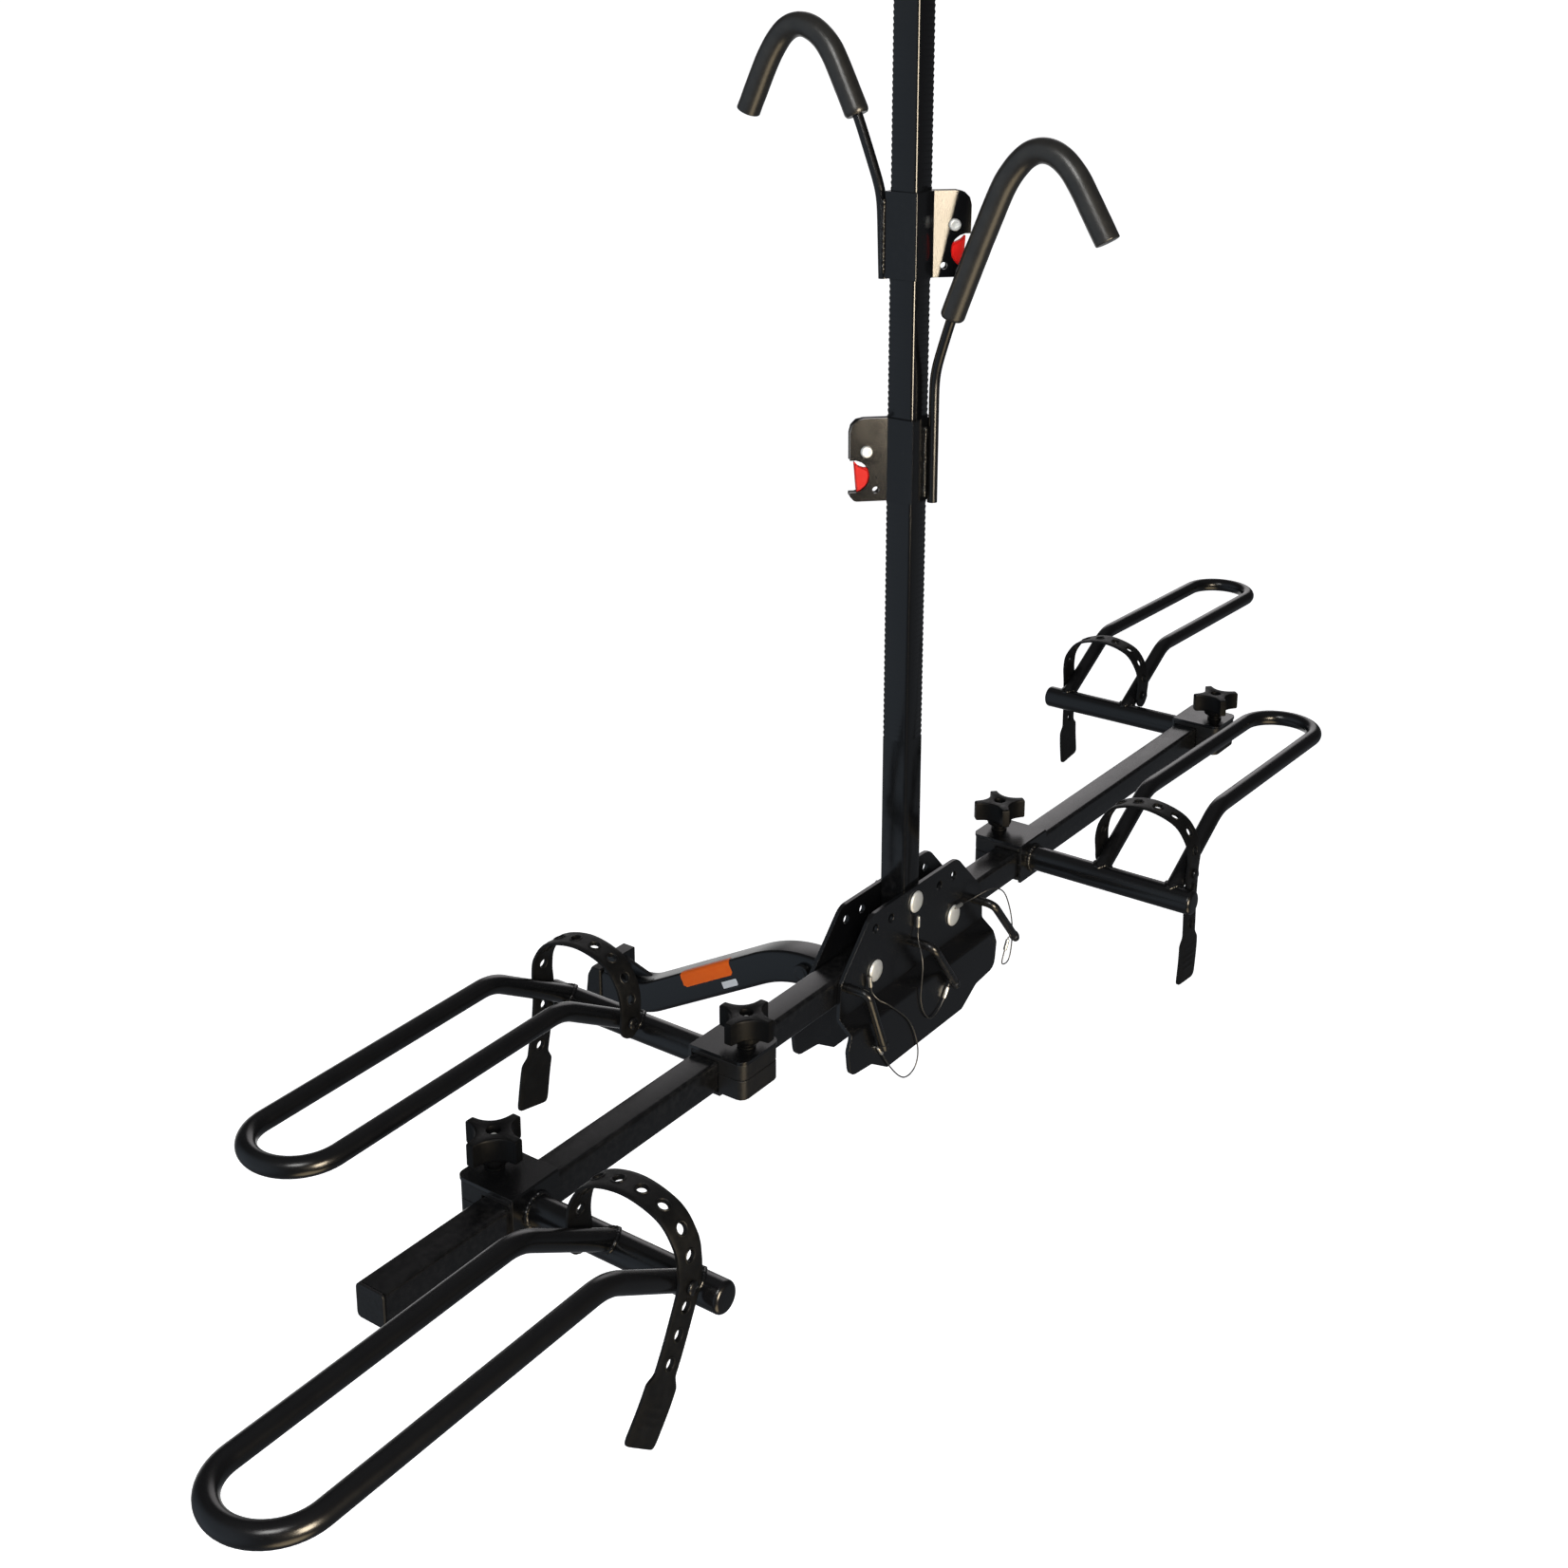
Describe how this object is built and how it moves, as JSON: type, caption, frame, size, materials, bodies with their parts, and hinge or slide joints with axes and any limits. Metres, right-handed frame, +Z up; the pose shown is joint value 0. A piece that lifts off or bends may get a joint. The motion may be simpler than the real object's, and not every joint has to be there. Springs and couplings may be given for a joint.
{
  "type": "hitch mounted bike rack",
  "caption": "Hanging bike rack on a hitch bar, with a folding mast, two folding arms, sliding hoop holders with rubber straps, and sliding frame hooks.",
  "frame": {"origin": "on the underside of the hitch bar's straight end, where the rack sits in a receiver; the mast's and arms' centre lines cross at (0, -0.39, 0.20305)", "axes": "+X along the right arm, +Y towards the vehicle along the hitch bar, +Z up the mast"},
  "size_m": [2.24, 0.6628, 1.2193],
  "materials": {
    "powder_black": "satin powder coat",
    "zinc_plate": "bright zinc plate",
    "moulded_black": "fine moulded texture",
    "rubber_black": "matte rubber",
    "foam_black": "closed cell foam skin",
    "vinyl_black": "dipped vinyl",
    "lever_red": "satin moulded red",
    "wire_steel": "twisted wire"
  },
  "bodies": {
    "bracket": {"outer_plate": "powder_black", "inner_plate": "powder_black", "hitch_bar": "powder_black", "hitch_stop": "powder_black", "hitch_end_cap": "moulded_black", "hitch_cross_bolt": "powder_black", "hitch_cross_nut": "powder_black", "mast_pivot_bolt": "zinc_plate", "mast_pivot_nut": "zinc_plate", "left_pivot_bolt": "zinc_plate", "left_pivot_nut": "zinc_plate", "right_pivot_bolt": "zinc_plate", "right_pivot_nut": "zinc_plate", "left_lanyard": "wire_steel", "mast_lanyard": "wire_steel", "right_lanyard": "wire_steel"},
    "mast": {"mast_tube": "powder_black", "mast_cap": "moulded_black"},
    "left_arm": {"left_arm": "powder_black", "left_arm_cap": "moulded_black"},
    "right_arm": {"right_arm": "powder_black", "right_arm_cap": "moulded_black"},
    "left_outer_holder": {"left_outer_hoop_frame": "powder_black", "left_outer_upper_jaw": "moulded_black", "left_outer_strap": "rubber_black"},
    "left_outer_knob": {"left_outer_knob": "moulded_black"},
    "left_outer_lower_jaw": {"left_outer_lower_jaw": "moulded_black", "left_outer_clamp_bolt": "zinc_plate"},
    "left_inner_holder": {"left_inner_hoop_frame": "powder_black", "left_inner_upper_jaw": "moulded_black", "left_inner_strap": "rubber_black"},
    "left_inner_knob": {"left_inner_knob": "moulded_black"},
    "left_inner_lower_jaw": {"left_inner_lower_jaw": "moulded_black", "left_inner_clamp_bolt": "zinc_plate"},
    "right_inner_holder": {"right_inner_hoop_frame": "powder_black", "right_inner_upper_jaw": "moulded_black", "right_inner_strap": "rubber_black"},
    "right_inner_knob": {"right_inner_knob": "moulded_black"},
    "right_inner_lower_jaw": {"right_inner_lower_jaw": "moulded_black", "right_inner_clamp_bolt": "zinc_plate"},
    "right_outer_holder": {"right_outer_hoop_frame": "powder_black", "right_outer_upper_jaw": "moulded_black", "right_outer_strap": "rubber_black"},
    "right_outer_knob": {"right_outer_knob": "moulded_black"},
    "right_outer_lower_jaw": {"right_outer_lower_jaw": "moulded_black", "right_outer_clamp_bolt": "zinc_plate"},
    "lower_hook": {"lower_sleeve": "powder_black", "lower_hook_rod": "powder_black", "lower_foam_grip": "foam_black", "lower_lever_bolt": "zinc_plate"},
    "lower_lever": {"lower_release_lever": "lever_red"},
    "upper_hook": {"upper_sleeve": "powder_black", "upper_hook_rod": "powder_black", "upper_foam_grip": "foam_black", "upper_lever_bolt": "zinc_plate"},
    "upper_lever": {"upper_release_lever": "lever_red"},
    "left_pin": {"left_lock_pin": "vinyl_black"},
    "mast_pin": {"mast_lock_pin": "vinyl_black"},
    "right_pin": {"right_lock_pin": "vinyl_black"}
  },
  "joints": [
    {"name": "mast_fold", "type": "hinge", "parent": "bracket", "child": "mast", "pos_m": [0, -0.39, 0.25105], "axis": [0, 1, 0], "range_deg": [-80, 0]},
    {"name": "left_arm_fold", "type": "hinge", "parent": "bracket", "child": "left_arm", "pos_m": [-0.078, -0.39, 0.20305], "axis": [0, 1, 0], "range_deg": [0, 85]},
    {"name": "right_arm_fold", "type": "hinge", "parent": "bracket", "child": "right_arm", "pos_m": [0.078, -0.39, 0.20305], "axis": [0, -1, 0], "range_deg": [0, 85]},
    {"name": "left_outer_holder_slide", "type": "slide", "parent": "left_arm", "child": "left_outer_holder", "axis": [-1, 0, 0], "range_m": [-0.1, 0.138]},
    {"name": "left_outer_jaw_drop", "type": "slide", "parent": "left_outer_holder", "child": "left_outer_lower_jaw", "axis": [0, 0, -1], "range_m": [0, 0.0025]},
    {"name": "left_outer_knob_turn", "type": "hinge", "parent": "left_outer_holder", "child": "left_outer_knob", "pos_m": [-0.6, -0.362, 0.25305], "axis": [0, 0, 1], "range_deg": [0, 720]},
    {"name": "left_inner_holder_slide", "type": "slide", "parent": "left_arm", "child": "left_inner_holder", "axis": [-1, 0, 0], "range_m": [-0.06, 0.1]},
    {"name": "left_inner_jaw_drop", "type": "slide", "parent": "left_inner_holder", "child": "left_inner_lower_jaw", "axis": [0, 0, -1], "range_m": [0, 0.0025]},
    {"name": "left_inner_knob_turn", "type": "hinge", "parent": "left_inner_holder", "child": "left_inner_knob", "pos_m": [-0.312, -0.418, 0.25305], "axis": [0, 0, 1], "range_deg": [0, 720]},
    {"name": "right_inner_holder_slide", "type": "slide", "parent": "right_arm", "child": "right_inner_holder", "axis": [1, 0, 0], "range_m": [-0.08, 0.15]},
    {"name": "right_inner_jaw_drop", "type": "slide", "parent": "right_inner_holder", "child": "right_inner_lower_jaw", "axis": [0, 0, -1], "range_m": [0, 0.0025]},
    {"name": "right_inner_knob_turn", "type": "hinge", "parent": "right_inner_holder", "child": "right_inner_knob", "pos_m": [0.261, -0.362, 0.25305], "axis": [0, 0, 1], "range_deg": [0, 720]},
    {"name": "right_outer_holder_slide", "type": "slide", "parent": "right_arm", "child": "right_outer_holder", "axis": [1, 0, 0], "range_m": [-0.25, 0]},
    {"name": "right_outer_jaw_drop", "type": "slide", "parent": "right_outer_holder", "child": "right_outer_lower_jaw", "axis": [0, 0, -1], "range_m": [0, 0.0025]},
    {"name": "right_outer_knob_turn", "type": "hinge", "parent": "right_outer_holder", "child": "right_outer_knob", "pos_m": [0.739, -0.418, 0.25305], "axis": [0, 0, 1], "range_deg": [0, 720]},
    {"name": "lower_hook_slide", "type": "slide", "parent": "mast", "child": "lower_hook", "axis": [0, 0, 1], "range_m": [-0.25, 0.08]},
    {"name": "lower_lever_release", "type": "hinge", "parent": "lower_hook", "child": "lower_lever", "pos_m": [-0.03041, -0.35959, 0.74905], "axis": [0.7071, 0.7071, 0], "range_deg": [0, 15]},
    {"name": "upper_hook_slide", "type": "slide", "parent": "mast", "child": "upper_hook", "axis": [0, 0, 1], "range_m": [-0.07, 0.15]},
    {"name": "upper_lever_release", "type": "hinge", "parent": "upper_hook", "child": "upper_lever", "pos_m": [0.03041, -0.42041, 0.97605], "axis": [-0.7071, -0.7071, 0], "range_deg": [0, 15]},
    {"name": "left_pin_pull", "type": "slide", "parent": "bracket", "child": "left_pin", "axis": [0, -1, 0], "range_m": [0, 0.06]},
    {"name": "mast_pin_pull", "type": "slide", "parent": "bracket", "child": "mast_pin", "axis": [0, -1, 0], "range_m": [0, 0.06]},
    {"name": "right_pin_pull", "type": "slide", "parent": "bracket", "child": "right_pin", "axis": [0, -1, 0], "range_m": [0, 0.06]}
  ],
  "couplings": [
    {"joint": "left_outer_knob_turn", "follows": "left_outer_jaw_drop", "rad_per_m": 5026.5},
    {"joint": "left_inner_knob_turn", "follows": "left_inner_jaw_drop", "rad_per_m": 5026.5},
    {"joint": "right_inner_knob_turn", "follows": "right_inner_jaw_drop", "rad_per_m": 5026.5},
    {"joint": "right_outer_knob_turn", "follows": "right_outer_jaw_drop", "rad_per_m": 5026.5}
  ]
}
